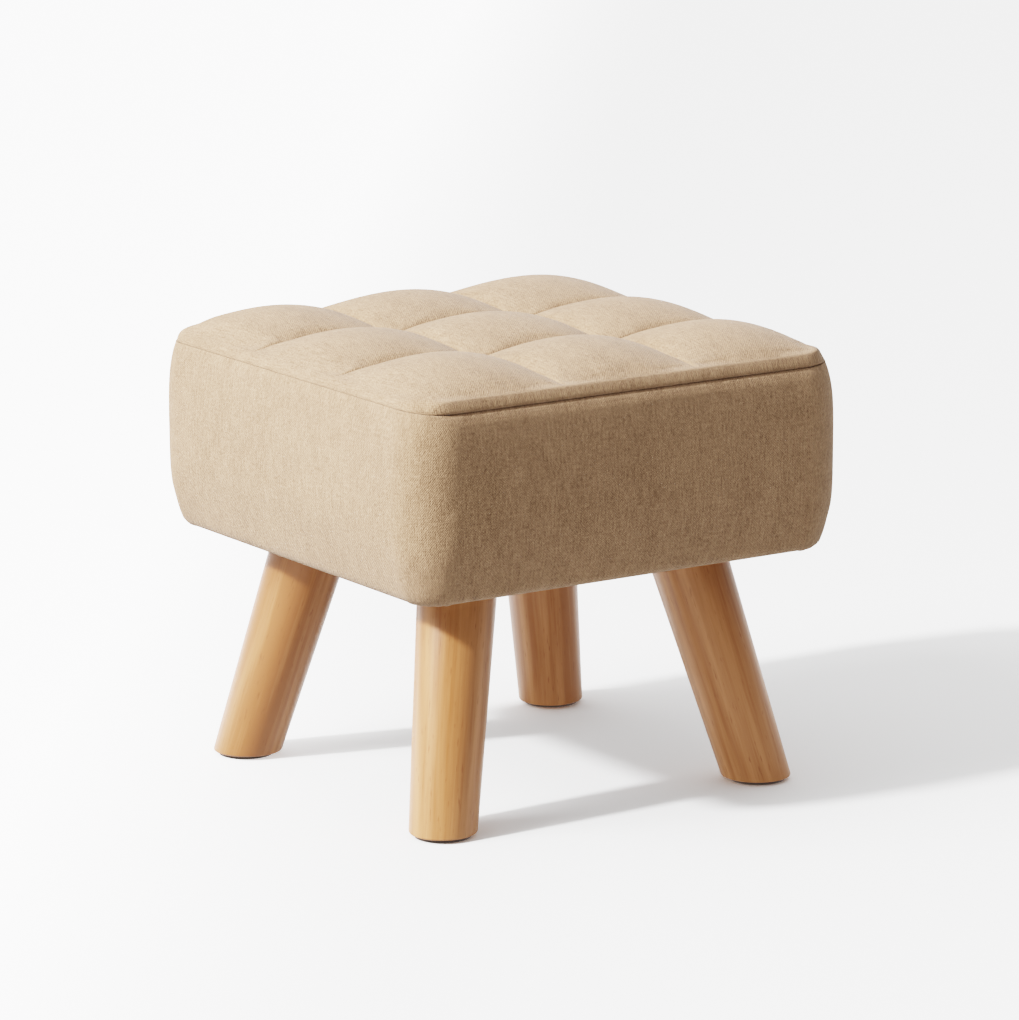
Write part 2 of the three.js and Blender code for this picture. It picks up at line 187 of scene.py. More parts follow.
wide_lamp = bpy.data.objects.new("wide_lamp", bpy.data.lights.new("wide_lamp", "AREA"))
wide_lamp.data.shape = "DISK"
wide_lamp.data.size = wide_width
wide_lamp.data.energy = wide_power
wide_lamp.location = wide_place
wide_lamp.rotation_euler = (camera_aim - wide_place).to_track_quat("-Z", "Y").to_euler()
scene.collection.objects.link(wide_lamp)

scene.world = bpy.data.worlds.new("studio_air")
scene.world.use_nodes = True
air = Recipe(scene.world.node_tree)
heading = air.parts(air.node("ShaderNodeTexCoord")["Generated"])
overhead = (heading["Y"] * air_behind + 1) * air_above
brightness = air.node("ShaderNodeMapRange", {"interpolation_type": "SMOOTHSTEP"}, {
    "Value": heading["Z"], "From Min": -horizon_blur, "From Max": horizon_blur,
    "To Min": air_below, "To Max": overhead})["Result"]
glow = air.node("ShaderNodeBackground", {}, {"Color": (1, 1, 1, 1), "Strength": brightness})["Background"]
air.node("ShaderNodeOutputWorld", {}, {"Surface": glow})


# Floor: a plain pale paper sheet, far wider than the view, with a painted glow that grows towards the lamps'
# side.
# Its own bounce is left to the air's lower half, so that it doesn't flood the shaded side.
floor_half = 9
floor_squares = 8
floor_colour = (0.96, 0.96, 0.96, 1)
painted_glow_side = (-0.80, 0.60)
painted_glow_growth = 26
painted_glow_most = 2.2


def finish_of(name, fixed, varying):
    """A finish: fixed values sit on the shader's own sockets, varying gives the rest from a recipe."""
    material = bpy.data.materials.new(name)
    material.use_nodes = True
    recipe = Recipe(material.node_tree)
    shader = recipe.node("ShaderNodeBsdfPrincipled", {}, {**fixed, **varying(recipe)})["BSDF"]
    recipe.node("ShaderNodeOutputMaterial", {}, {"Surface": shader})
    return material


def piece_of(name, shape, finish, smooth_angle=None):
    """A mesh object from a bmesh, in the frame's own place, with one finish."""
    mesh = bpy.data.meshes.new(name)
    shape.to_mesh(mesh)
    shape.free()
    mesh.materials.append(finish)
    piece = bpy.data.objects.new(name, mesh)
    scene.collection.objects.link(piece)
    mesh.shade_smooth()
    if smooth_angle is not None:
        mesh.set_sharp_from_angle(angle=smooth_angle)
    return piece


def paper_with_painted_glow(recipe):
    place = recipe.parts(recipe.own_place())
    # Painted light: the paper is given emission that grows towards the lamps' side, standing in for their
    # light on it.
    reach = (place["X"] * painted_glow_side[0] + place["Y"] * painted_glow_side[1]).math("MAXIMUM", 0.0)
    painted_glow_level = (reach * reach * painted_glow_growth).math("MINIMUM", painted_glow_most)
    return {"Emission Color": recipe.node("ShaderNodeCombineColor", {}, {
        "Red": painted_glow_level, "Green": painted_glow_level, "Blue": painted_glow_level})["Color"]}


paper = finish_of("pale_paper_painted_glow", {"Base Color": floor_colour, "Roughness": 0.9, "Specular IOR Level": 0.2,
                                 "Emission Strength": 1.0}, paper_with_painted_glow)
sheet = bmesh.new()
bmesh.ops.create_grid(sheet, x_segments=floor_squares, y_segments=floor_squares, size=floor_half)
floor = piece_of("studio_floor", sheet, paper)
floor.visible_diffuse = False


# Seat board: a 12 mm plywood panel that carries the whole seat and takes the plates' screws.
# It is sawn with eased corners and left raw. Its edge shows five veneers, light and dark in turn.
ply_pale = (0.62, 0.44, 0.26, 1)
ply_dark = (0.40, 0.25, 0.13, 1)
veneers = 5
veneer_sharpness = 8
ply_fibre_scale = (30, 900, 2000)
ply_cloud_scale = (6, 40, 60)
board_low, board_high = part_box("seat_board")
veneer = (board_high.z - board_low.z) / veneers


def plywood(recipe):
    place = recipe.own_place()
    level = recipe.parts(place)["Z"] - board_low.z
    plies = ((level * (math.pi / veneer)).math("SINE") * veneer_sharpness + 0.5).clamped()
    fibres = recipe.grain(place, ply_fibre_scale, 4)
    clouds = recipe.grain(place, ply_cloud_scale, 3)
    tone = plies * 0.3 + fibres * 0.35 + clouds * 0.35
    return {"Base Color": recipe.mix(tone, ply_dark, ply_pale), "Roughness": fibres * 0.2 + 0.6,
            "Normal": recipe.bump(fibres, 0.3, 0.2 * mm)}


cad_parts["seat_board"].data.materials.clear()
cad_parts["seat_board"].data.materials.append(finish_of("raw_plywood", {}, plywood))


# Foam block: one piece of polyurethane foam, glued on the board, cut a little crowned at its sides.
# It fills the side band from the board up to the quilted layer.
foam_colour = (0.80, 0.72, 0.52, 1)
foam_shade = (0.62, 0.54, 0.36, 1)
cell_size = 1.2 * mm
cell_depth = 0.4 * mm
foam_corner_radius = 26 * mm
foam_edge_radius = 2.5 * mm
foam_levels = 9
foam_low, foam_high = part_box("foam_block")
foam_size = foam_high - foam_low
seat_half = cad_box[1].x
bulge_height = 208 * mm
wall_top_inset = 1.0 * mm
wall_foot_inset = 0.3 * mm
wall_belly = 4.3 * mm
wall_roundness = 4
foam_inset = 0.35 * wall_belly
roll_top = 160 * mm
seam_height = 260.5 * mm


def wall_inset(height):
    """How far the seat's wall is drawn in from the solid model's widest line, at a height."""
    if height < bulge_height:
        end_inset, end_height = wall_foot_inset, roll_top
    else:
        end_inset, end_height = wall_top_inset, seam_height
    past = (height - bulge_height) / (end_height - bulge_height)
    return (end_inset + wall_belly) * min(past, 1) ** wall_roundness - wall_belly


def open_foam(recipe):
    place = recipe.own_place()
    cells = recipe.node("ShaderNodeTexVoronoi", {}, {"Vector": place, "Scale": 1 / cell_size})["Distance"]
    fine = recipe.grain(place, (900, 900, 900), 2)
    return {"Base Color": recipe.mix(cells * 0.9 + fine * 0.3, foam_shade, foam_colour),
            "Normal": recipe.bump(cells + fine * 0.3, 0.6, cell_depth)}


def climb_of(edge):
    """How far an edge rises from one end to the other."""
    return abs(edge.verts[0].co.z - edge.verts[1].co.z)


block = bmesh.new()
bmesh.ops.create_cube(block, size=1)
bmesh.ops.scale(block, vec=foam_size, verts=block.verts)
bmesh.ops.translate(block, vec=(foam_low + foam_high) / 2, verts=block.verts)
upright = [edge for edge in block.edges if climb_of(edge) > foam_size.z / 2]
bmesh.ops.bevel(block, geom=upright, offset=foam_corner_radius, segments=8, profile=0.5,
                affect="EDGES", material=-1)
rims = [edge for edge in block.edges if climb_of(edge) < mm]
bmesh.ops.bevel(block, geom=rims, offset=foam_edge_radius, segments=3, profile=0.5,
                affect="EDGES", material=-1)
for level in range(1, foam_levels):
    cut = Vector((0, 0, foam_low.z + foam_size.z * level / foam_levels))
    bmesh.ops.bisect_plane(block, geom=block.verts[:] + block.edges[:] + block.faces[:],
                           plane_co=cut, plane_no=(0, 0, 1))
for vertex in block.verts:
    drawn = 1 - (wall_inset(max(vertex.co.z, roll_top)) + foam_inset) / seat_half
    vertex.co.x *= drawn
    vertex.co.y *= drawn
foam_finish = finish_of("open_cell_foam", {"Roughness": 0.95, "Sheen Weight": 0.2}, open_foam)
foam = piece_of("foam_cushion", block, foam_finish, math.radians(50))
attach(foam, "root")
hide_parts("foam_block")


# Quilted top panel: linen-look cloth sewn through to a soft layer in nine squares.
# Its edge folds down over the rim of the seat and is sewn to the side band from inside.
# It is laid out flat, puffed by a cloth simulation between its sewn lines, and given its thickness.
linen_pale = (0.368, 0.237, 0.145, 1)
linen_dark = (0.163, 0.099, 0.056, 1)
thread_pitch = 0.82 * mm
thread_wander = 1.6 * thread_pitch
yarn_layers = [  # width, length, detail and roughness of the grain, and its share of the tone and relief
    (1.1 * mm, 12 * mm, 3, 0.6, 1.1, 1.2),
    (9 * mm, 1.1 * mm, 3, 0.6, 0.4, 1.2),
    (1.2 * mm, 2 * mm, 2, 0.6, 1.4, 2.4),
    (5 * mm, 8 * mm, 2, 0.6, 0.45, 0),
    (16 * mm, 60 * mm, 3, 0.55, 0.5, 0)]
cover_thickness = 1.2 * mm
panel_cells = 84
squares_across = 3
row_crowding = 0.85 * math.pi / 2
seam_half = seat_half - wall_top_inset - 0.4 * mm
corner_middle = 124 * mm
edge_width = 8 * mm
panel_half = seam_half - edge_width
corner_start = corner_middle / panel_half
skirt_cloth = 1.4 * edge_width
front_shoulder_rise = 2.0 * mm
back_shoulder_rise = 4.2 * mm
shoulder_width = 24 * mm
front_puff_height = 12.8 * mm
back_puff_height = 10.8 * mm
inner_puff_power = 0.86
outer_puff_power = 0.95
crossing_depth = 2.0 * mm
crossing_width = 13 * mm
sewn_line_depth = 1.5 * mm
sewn_line_crease = 0.9
lines_forward = 0.036
lines_leftward = 0.022
fold_rises = {(-1, -1): 6.2 * mm, (1, -1): 6.6 * mm, (1, 1): 5.6 * mm, (-1, 1): 5.9 * mm}
usual_rise = 6.7 * mm
fold_reach = 34 * mm
skirt_shares = [0.22, 0.40, 0.50, 0.60, 0.80, 1.0, 1.25, 1.5, 2.0]
round_fold_power = 2.2
crisp_fold_power = 6.5
crisp_fold_turns = {-1: (math.radians(44), math.radians(90)), 1: (math.radians(5), math.radians(65))}
flat_fold_power = 1.5
crisp_fold_lean = 2.8 * mm
slanted_corner_lean = 3.2 * mm
seam_turn_in = 1.6 * mm
seam_gap = 0.03 * mm
usual_lip = 0.18 * mm
near_corner_lip = 0.04 * mm
front_lip = 1.7 * mm
front_lip_turns = (math.radians(48), math.radians(82))
front_seam_drop = 1.2 * mm
left_seam_climb = 0.6 * mm
ear_reach = 0.49 * mm
ear_rise = 0.8 * mm
ear_inset = 8 * mm
ear_width = 8 * mm
puff_pressure = 4.0
puff_cap = 3 * mm
puff_slack = 0.004
cloth_frames = 20


def plan(across, along, half):
    """A place on the unit square, laid out on a rounded square whose corners turn about fixed middles."""
    over = [(abs(share) - corner_start) / (1 - corner_start) for share in (across, along)]
    radius = half - corner_middle
    if min(over) <= 0:
        found = [math.copysign(corner_middle + radius * past, share) if past > 0
                 else share / corner_start * corner_middle for share, past in zip((across, along), over)]
        return Vector((found[0], found[1], 0))
    lean = min(over) / max(over) * math.pi / 4
    angle = lean if over[0] > over[1] else math.pi / 2 - lean
    out = radius * max(over)
    return Vector((math.copysign(corner_middle + out * math.cos(angle), across),
                   math.copysign(corner_middle + out * math.sin(angle), along), 0))


def square_of(share):
    """The number of the quilted square that a place lies in, and the place inside it, from -1 to 1."""
    square = min(squares_across - 1, math.floor((share + 1) / 2 * squares_across + 1e-6))
    return square, (share + 1) * squares_across - 2 * square - 1


def crowded(share):
    """Moves a row of the grid towards the nearest sewn line or edge, where the cloth bends most."""
    square, inside = square_of(share)
    return (2 * square + 1 + math.sin(inside * row_crowding) / math.sin(row_crowding)) / squares_across - 1


def on_sewn_line(across, along):
    lines = [2 * line / squares_across - 1 for line in range(1, squares_across)]
    return any(abs(share - line) < 0.1 / panel_cells for share in (across, along) for line in lines)


def puff(across, along):
    """How full the quilted layer is, from 0 on a sewn line to 1 in the middle of a square."""
    fullness = 1.0
    for share in (across, along):
        square, inside = square_of(share)
        outer = (square == 0 and inside < 0) or (square == squares_across - 1 and inside > 0)
        fullness *= max(0, 1 - inside ** 2) ** (outer_puff_power if outer else inner_puff_power)
    return fullness


def edge_rise(across, along):
    """The height of the folded edge over the seam, which differs from corner to corner."""
    return sum(rise * (1 + across * x) / 2 * (1 + along * y) / 2 for (x, y), rise in fold_rises.items())


def seam_drift(facing):
    """How far the seam wanders from level, on a side that faces a given way."""
    return left_seam_climb * max(0, -facing.x) ** 2 - front_seam_drop * max(0, -facing.y) ** 2


def crowned(place):
    """How far a place has climbed over the seat's rounded rim, from 0 at the seam to 1."""
    return math.prod(math.sin(min(1, max(0, (seam_half - abs(value)) / shoulder_width)) * math.pi / 2)
                     for value in place.xy)


def front_to_back(front, back, place):
    """A size that grows from the front of the seat to its back."""
    return front + (back - front) * (place.y / seam_half + 1) / 2


def eased(value):
    """A share that starts and ends softly."""
    value = min(1, max(0, value))
    return value ** 2 * (3 - 2 * value)


def share_of_turn(facing, start, end):
    """How far a corner has turned to the front, eased from 0 at one angle to 1 at another."""
    return eased((math.asin(min(1, max(0, -facing.y))) - start) / (end - start))


def lip_depth(facing, usual, near_corner, front):
    """The roundness of a seam's lip: deepest along the front, next to none at the near corner."""
    at_corner = max(0, 2 * facing.x * facing.y) if facing.x < 0 else 0
    lip = usual + (near_corner - usual) * at_corner
    return lip + (front - lip) * share_of_turn(facing, *front_lip_turns)


def panel_point(across, along):
    """The quilted surface inside the folded edge."""
    from_edge = (1 - max(abs(across), abs(along))) * panel_half
    near = max(0.0, 1 - from_edge / fold_reach) ** 2
    shifted_across = across - lines_leftward * max(0, along) * (1 - across ** 2)
    shifted_along = along - lines_forward * max(0, across) * (1 - along ** 2)
    place = plan(shifted_across, shifted_along, panel_half)
    crown = crowned(place)
    place.z = seam_height + usual_rise + (edge_rise(across, along) - usual_rise) * near
    place.z += front_to_back(front_shoulder_rise, back_shoulder_rise, place) * crown
    place.z += front_to_back(front_puff_height, back_puff_height, place) * puff(across, along)
    if on_sewn_line(across, along):
        place.z -= sewn_line_depth * crown
    pitch = 2 * panel_half / squares_across
    crossing = math.hypot(*(abs(value) - pitch / 2 for value in place.xy))
    place.z -= crossing_depth * math.exp(-(crossing / crossing_width) ** 2)
    return place


def skirt_point(across, along, share):
    """The folded edge: share 0 is the panel's edge, 1 the seam's lip, and beyond 1 the turned-in hem."""
    facing = (plan(across, along, seam_half) - plan(across, along, panel_half)).normalized()
    front = share_of_turn(facing, *crisp_fold_turns[int(math.copysign(1, facing.x))])
    lip = lip_depth(facing, usual_lip, near_corner_lip, front_lip)
    seam = seam_height + seam_drift(facing) + seam_gap
    if share > 1:
        turned = min((share - 1) * math.pi, math.pi / 2)
        inset = lip * (1 - math.cos(turned)) if share < 2 else seam_turn_in
        place = plan(across, along, seam_half - inset)
        place.z = seam + lip * (1 - math.sin(turned))
        return place
    rounded = round_fold_power
    if facing.x < 0:
        rounded += (flat_fold_power - round_fold_power) * max(0, 2 * facing.x * facing.y)
    power = 2 / (rounded + (crisp_fold_power - rounded) * front)
    lean = crisp_fold_lean * front + slanted_corner_lean * 4 * front * (1 - front) * (facing.x > 0)
    turn = (1 - share) * math.pi / 2
    climb = math.sin(turn) ** power
    inset = lean * climb + (edge_width - lean) * (1 - math.cos(turn) ** power)
    place = plan(across, along, seam_half - inset)
    shoulder = front_to_back(front_shoulder_rise, back_shoulder_rise, place)
    top = seam_height + edge_rise(across, along) + shoulder * crowned(place)
    place.z = seam + lip + (top - seam - lip) * climb
    return place


def ear(place):
    """The small point that the fold makes at the front right corner."""
    tip = Vector((seam_half - ear_inset, -seam_half + ear_inset, seam_height + ear_inset))
    pull = math.exp(-((place - tip).length / ear_width) ** 2)
    return Vector((ear_reach, -ear_reach, ear_rise)) * pull


def linen(recipe):
    """Plain weave whose threads wander a little, under the layers of unevenness of its yarns."""
    place = recipe.node("ShaderNodeUVMap", {"uv_map": "cloth"})["UV"]
    wander = recipe.node("ShaderNodeTexNoise", {}, {"Vector": place, "Scale": 300.0, "Detail": 2.0})["Color"]
    wander = recipe.shifted(wander, (-0.5, -0.5, -0.5))
    thread = recipe.parts(recipe.shifted(place, recipe.stretched(wander, (thread_wander,) * 3)))
    crossing = [(thread[axis] * (math.pi / thread_pitch)).math("SINE") for axis in "XY"]
    weave = crossing[0] * crossing[1]
    tone = weave * 0.24 + 0.5
    relief = weave * 0.5
    for width, length, detail, roughness, tone_share, relief_share in yarn_layers:
        layer = recipe.grain(place, (1 / width, 1 / length, 1), detail, roughness)
        tone = tone + (layer - 0.5) * tone_share
        if relief_share:
            relief = relief + layer * relief_share
    return {"Base Color": recipe.mix(tone, linen_dark, linen_pale),
            "Normal": recipe.bump(relief, 0.6, 0.34 * mm)}


def settle_cloth(piece, sewn, pressure, cap, slack):
    """Puffs a sheet held at its sewn points, and keeps each point within the cap of where it began."""
    before = [vertex.co.copy() for vertex in piece.data.vertices]
    piece.vertex_groups.new(name="sewn").add(sewn, 1.0, "REPLACE")
    modifier = piece.modifiers.new("settle", "CLOTH")
    cloth = modifier.settings
    cloth.quality = 5
    cloth.mass = 0.25
    cloth.tension_stiffness = 25
    cloth.compression_stiffness = 25
    cloth.shear_stiffness = 12
    cloth.bending_stiffness = 0.8
    cloth.shrink_min = -slack
    cloth.use_pressure = True
    cloth.uniform_pressure_force = pressure
    cloth.effector_weights.gravity = 0
    cloth.vertex_group_mass = "sewn"
    modifier.collision_settings.use_collision = False
    modifier.point_cache.frame_start = 1
    modifier.point_cache.frame_end = cloth_frames
    for moment in range(1, cloth_frames + 1):
        scene.frame_set(moment)
    puffed = piece.evaluated_get(bpy.context.evaluated_depsgraph_get())
    after = [vertex.co.copy() for vertex in puffed.to_mesh().vertices]
    puffed.to_mesh_clear()
    piece.modifiers.remove(modifier)
    piece.vertex_groups.clear()
    scene.frame_set(1)
    for vertex, start, end in zip(piece.data.vertices, before, after):
        move = end - start
        vertex.co = start + move * min(1.0, cap / max(move.length, 1e-9))


linen_finish = finish_of("beige_linen", {"Roughness": 0.9, "Specular IOR Level": 0.2, "Sheen Weight": 0.1,
                                         "Sheen Roughness": 0.5}, linen)
panel = bmesh.new()
bmesh.ops.create_grid(panel, x_segments=panel_cells, y_segments=panel_cells, size=1)
unit_place = panel.verts.layers.float_vector.new("unit_place")
for vertex in panel.verts:
    vertex[unit_place] = (crowded(vertex.co.x), crowded(vertex.co.y), 0)
edge = [edge for edge in panel.edges if edge.is_boundary]
for share in skirt_shares:
    grown = bmesh.ops.extrude_edge_only(panel, edges=edge)["geom"]
    edge = [part for part in grown if isinstance(part, bmesh.types.BMEdge) and part.is_boundary]
    for part in grown:
        if isinstance(part, bmesh.types.BMVert):
            part[unit_place].z = share
cloth_map = panel.loops.layers.uv.new("cloth")
for face in panel.faces:
    for loop in face.loops:
        across, along, share = loop.vert[unit_place]
        loop[cloth_map].uv = plan(across, along, panel_half + share * skirt_cloth).xy
for vertex in panel.verts:
    across, along, share = vertex[unit_place]
    place = skirt_point(across, along, share) if share else panel_point(across, along)
    vertex.co = place + ear(place)
bmesh.ops.recalc_face_normals(panel, faces=panel.faces)
if max(panel.faces, key=lambda face: face.calc_center_median().z).normal.z < 0:
    bmesh.ops.reverse_faces(panel, faces=panel.faces)
panel.verts.index_update()
sewn_points = [vertex.index for vertex in panel.verts
               if vertex[unit_place].z > 0 or on_sewn_line(*vertex[unit_place].xy)]
creases = panel.edges.layers.float.new("crease_edge")
for sewn_edge in panel.edges:
    if all(on_sewn_line(*vertex[unit_place].xy) and not vertex[unit_place].z for vertex in sewn_edge.verts):
        sewn_edge[creases] = sewn_line_crease
cover = piece_of("quilted_cover", panel, linen_finish)
settle_cloth(cover, sewn_points, puff_pressure, puff_cap, puff_slack)


# Soft layer: polyester wadding that the panel is quilted to, which gives the squares their puff.
# It has the panel's own shape, drawn in by the cloth's thickness, and lies flat on the foam.
wadding_colour = (0.86, 0.85, 0.82, 1)
wadding_shade = (0.72, 0.71, 0.68, 1)
wadding_depth = 1.8 * mm
wadding_reach = 0.9
wadding_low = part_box("top_wadding")[0].z


def fibre_wadding(recipe):
    place = recipe.own_place()
    lofty = recipe.grain(place, (140, 140, 140), 6, 0.7)
    strands = recipe.grain(place, (2500, 300, 900), 3, 0.6)
    return {"Base Color": recipe.mix(lofty * 0.7 + strands * 0.3, wadding_shade, wadding_colour),
            "Normal": recipe.bump(lofty + strands * 0.4, 0.5, 0.8 * mm)}


layer = bmesh.new()
layer.from_mesh(cover.data)
unit_place = layer.verts.layers.float_vector["unit_place"]
hem = [vertex for vertex in layer.verts if vertex[unit_place].z > wadding_reach]
bmesh.ops.delete(layer, geom=hem, context="VERTS")
layer.normal_update()
for vertex, shift in [(vertex, vertex.normal * -wadding_depth) for vertex in layer.verts]:
    vertex.co += shift
bottom = bmesh.ops.extrude_face_region(layer, geom=layer.faces[:])["geom"]
for vertex in [part for part in bottom if isinstance(part, bmesh.types.BMVert)]:
    vertex.co.z = wadding_low
bmesh.ops.recalc_face_normals(layer, faces=layer.faces)
wadding_finish = finish_of("polyester_wadding", {"Roughness": 1.0, "Sheen Weight": 0.3}, fibre_wadding)
wadding = piece_of("quilting_wadding", layer, wadding_finish)
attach(wadding, "root")
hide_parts("top_wadding")

smooth = cover.modifiers.new("smooth", "SUBSURF")
smooth.levels = 1
smooth.render_levels = 1
doubled = cover.modifiers.new("thickness", "SOLIDIFY")
doubled.thickness = cover_thickness
doubled.offset = -1
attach(cover, "root")
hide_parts("top_cover")


# Side band: one strip of the same linen, sewn into a ring, that goes round all four sides.
# Its top is turned in at the seam, and its foot is pulled under the board, pleated at the corners
# and stapled there. The foam pushes it out a little between the two.
band_thickness = 1.2 * mm
seat_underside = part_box("side_band")[0].z
least_corner_radius = 7 * mm
band_top = seam_height - seam_gap
band_lip = 1.5 * mm
lip_roll = 0.6 * mm
usual_lip_share = 0.15
near_corner_lip_share = 0.05
lip_roll_height = 2.4 * mm
under_roll_width = 10.8 * mm
under_roll_height = 14 * mm
flange_width = 20 * mm
flange_rings = 6
roll_rings = 8
wall_rings = 30
fine_ring_pitch = 1 * mm
fine_rings = 6
foot_easing_reach = 3
foot_easing_rounds = 6
pleat_depth = 0.7 * mm
pleats_a_corner = 5
pleat_end = 21.6 * mm
pleat_fade = 6 * mm
side_columns = 62
corner_columns = 16
columns_a_side = side_columns + corner_columns
columns = 4 * columns_a_side
column_pitch = (8 * corner_middle + 2 * math.pi * (seat_half - corner_middle)) / columns
held_flange_rings = 12
held_seam_rings = 10
band_pressure = 3.0
band_cap = 0.8 * mm
swell_depth = 0.4 * mm
swell_scale = 22
swell_fade = 12 * mm


def band_profile():
    """The strip's inset, height and distance along the cloth, from the flange's inner edge to the seam."""
    points = [(wall_foot_inset + under_roll_width + flange_width * (1 - step / flange_rings), seat_underside)
              for step in range(flange_rings)]
    for step in range(roll_rings):
        turn = step / roll_rings * math.pi / 2
        points.append((wall_foot_inset + under_roll_width * (1 - math.sin(turn)),
                       roll_top - under_roll_height * math.cos(turn)))
    lip_foot = band_top - band_lip
    fine_start = lip_foot - fine_rings * fine_ring_pitch
    heights = [roll_top + (fine_start - roll_top) * step / (wall_rings - 1) for step in range(wall_rings)]
    heights += [fine_start + step * fine_ring_pitch for step in range(1, fine_rings + 1)]
    for height in heights:
        rolled_in = lip_roll * math.exp((height - lip_foot) / lip_roll_height)
        points.append((wall_inset(height) + rolled_in, height))
    for turn in (math.pi / 6, math.pi / 3, math.pi / 2):
        inset = wall_top_inset + lip_roll + band_lip * (1 - math.cos(turn))
        points.append((inset, lip_foot + band_lip * math.sin(turn)))
    points.append((wall_top_inset + seam_turn_in + lip_roll, band_top))
    start = flange_rings + roll_rings - foot_easing_reach
    end = start + 2 * foot_easing_reach + 1
    for _ in range(foot_easing_rounds):
        trios = zip(points[start - 1:end - 1], points[start:end], points[start + 1:end + 1])
        points[start:end] = [tuple((before + 2 * here + after) / 4 for before, here, after in zip(*trio))
                             for trio in trios]
    along = [0.0]
    for (inset, height), (next_inset, next_height) in zip(points, points[1:]):
        along.append(along[-1] + math.hypot(next_inset - inset, next_height - height))
    return [(inset, height, length) for (inset, height), length in zip(points, along)]


def round_the_seat(column, inset):
    """The place of a column of the strip, and its outward direction."""
    side, step = divmod(column % columns, columns_a_side)
    radius = max(seat_half - inset - corner_middle, least_corner_radius)
    straight = seat_half - inset - radius
    if step < side_columns:
        place = Vector((-straight + 2 * straight * step / side_columns, -straight - radius, 0))
        outward = Vector((0, -1, 0))
    else:
        angle = (step - side_columns) / corner_columns * math.pi / 2 - math.pi / 2
        outward = Vector((math.cos(angle), math.sin(angle), 0))
        place = Vector((straight, -straight, 0)) + outward * radius
    turn = Matrix.Rotation(side * math.pi / 2, 3, "Z")
    return turn @ place, turn @ outward


def pleat(column, inset):
    """How far the gathered cloth hangs below the board at a corner."""
    step = column % columns_a_side
    if step < side_columns or inset < wall_foot_inset:
        return 0.0
    share = (step - side_columns) / corner_columns
    inward = min(1.0, max(0.0, (inset - wall_foot_inset) / under_roll_width))
    flat_under_cover = min(1.0, max(0.0, (pleat_end - inset) / pleat_fade))
    return pleat_depth * inward * flat_under_cover * abs(math.sin(share * pleats_a_corner * math.pi))


profile = band_profile()
strip = bmesh.new()
bmesh.ops.create_circle(strip, segments=columns, radius=1)
strip_place = strip.verts.layers.float_vector.new("strip_place")
strip.verts.ensure_lookup_table()
for number, vertex in enumerate(strip.verts):
    vertex[strip_place] = (number, 0, 0)
edge = strip.edges[:]
for ring in range(1, len(profile)):
    grown = bmesh.ops.extrude_edge_only(strip, edges=edge)["geom"]
    fresh = {part for part in grown if isinstance(part, bmesh.types.BMVert)}
    for vertex in fresh:
        vertex[strip_place].y = ring
    edge = [part for part in grown if isinstance(part, bmesh.types.BMEdge) and set(part.verts) <= fresh]
cloth_map = strip.loops.layers.uv.new("cloth")
for face in strip.faces:
    furthest = max(loop.vert[strip_place].x for loop in face.loops)
    for loop in face.loops:
        column, ring = loop.vert[strip_place].xy
        if furthest - column > columns / 2:
            column += columns
        loop[cloth_map].uv = (column * column_pitch, profile[int(ring)][2])
for vertex in strip.verts:
    column, ring = (int(round(value)) for value in vertex[strip_place].xy)
    inset, height, _ = profile[ring]
    place, outward = round_the_seat(column, inset)
    climbed = max(0, (height - bulge_height) / (seam_height - bulge_height))
    if climbed and ring < len(profile) - 1:
        lip_share = lip_depth(outward, usual_lip_share, near_corner_lip_share, 1)
        place, outward = round_the_seat(column, wall_inset(height) + (inset - wall_inset(height)) * lip_share)
        if height > band_top - band_lip:
            height = band_top - (band_top - height) * lip_share
    vertex.co = (place.x, place.y, height - pleat(column, inset) + seam_drift(outward) * climbed)
bmesh.ops.recalc_face_normals(strip, faces=strip.faces)
if max(strip.faces, key=lambda face: face.calc_center_median().x).normal.x < 0:
    bmesh.ops.reverse_faces(strip, faces=strip.faces)
strip.verts.index_update()
held_points = [vertex.index for vertex in strip.verts
               if not held_flange_rings <= vertex[strip_place].y < len(profile) - held_seam_rings]
band = piece_of("linen_side_band", strip, linen_finish)
settle_cloth(band, held_points, band_pressure, band_cap, 0)
for vertex in band.data.vertices:
    from_held = min(vertex.co.z - roll_top, seam_height - vertex.co.z)
    swell = noise.noise(vertex.co * swell_scale) * swell_depth * min(1, max(0, from_held / swell_fade))
    vertex.co += Vector((vertex.co.x, vertex.co.y, 0)).normalized() * swell
doubled = band.modifiers.new("thickness", "SOLIDIFY")
doubled.thickness = band_thickness
doubled.offset = -1
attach(band, "root")
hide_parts("side_band")


# Dust cover: one sheet of thin black nonwoven cloth that closes the underside of the seat.
# It laps over the foot of the side band and sags a little between its staples.
dust_colour = (0.017, 0.017, 0.018, 1)
dust_pale = (0.045, 0.045, 0.047, 1)
dust_thickness = 0.45 * mm
dust_cells = 60
dust_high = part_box("dust_cover")[1]
dust_half = dust_high.x
dust_lap = 10.5 * mm
dust_slope = 5 * mm
lap_level = seat_underside - 0.4 * mm
sheet_level = dust_high.z - 0.1 * mm
sag_half = 48 * mm
sag_depth = 1.3 * mm
sag_unevenness = 0.5 * mm
sag_scale = 40


def nonwoven(recipe):
    place = recipe.own_place()
    fibres = recipe.grain(place, (700, 2600, 500), 4, 0.7)
    crossed = recipe.grain(place, (2600, 700, 500), 4, 0.7)
    dots = recipe.node("ShaderNodeTexVoronoi", {}, {"Vector": place, "Scale": 900.0, "Randomness": 0.15})
    relief = fibres + crossed - dots["Distance"] * 0.8
    tone = (fibres + crossed) * 0.5
    return {"Base Color": recipe.mix(tone ** 3, dust_colour, dust_pale), "Roughness": tone * 0.3 + 0.6,
            "Normal": recipe.bump(relief, 0.5, 0.2 * mm)}


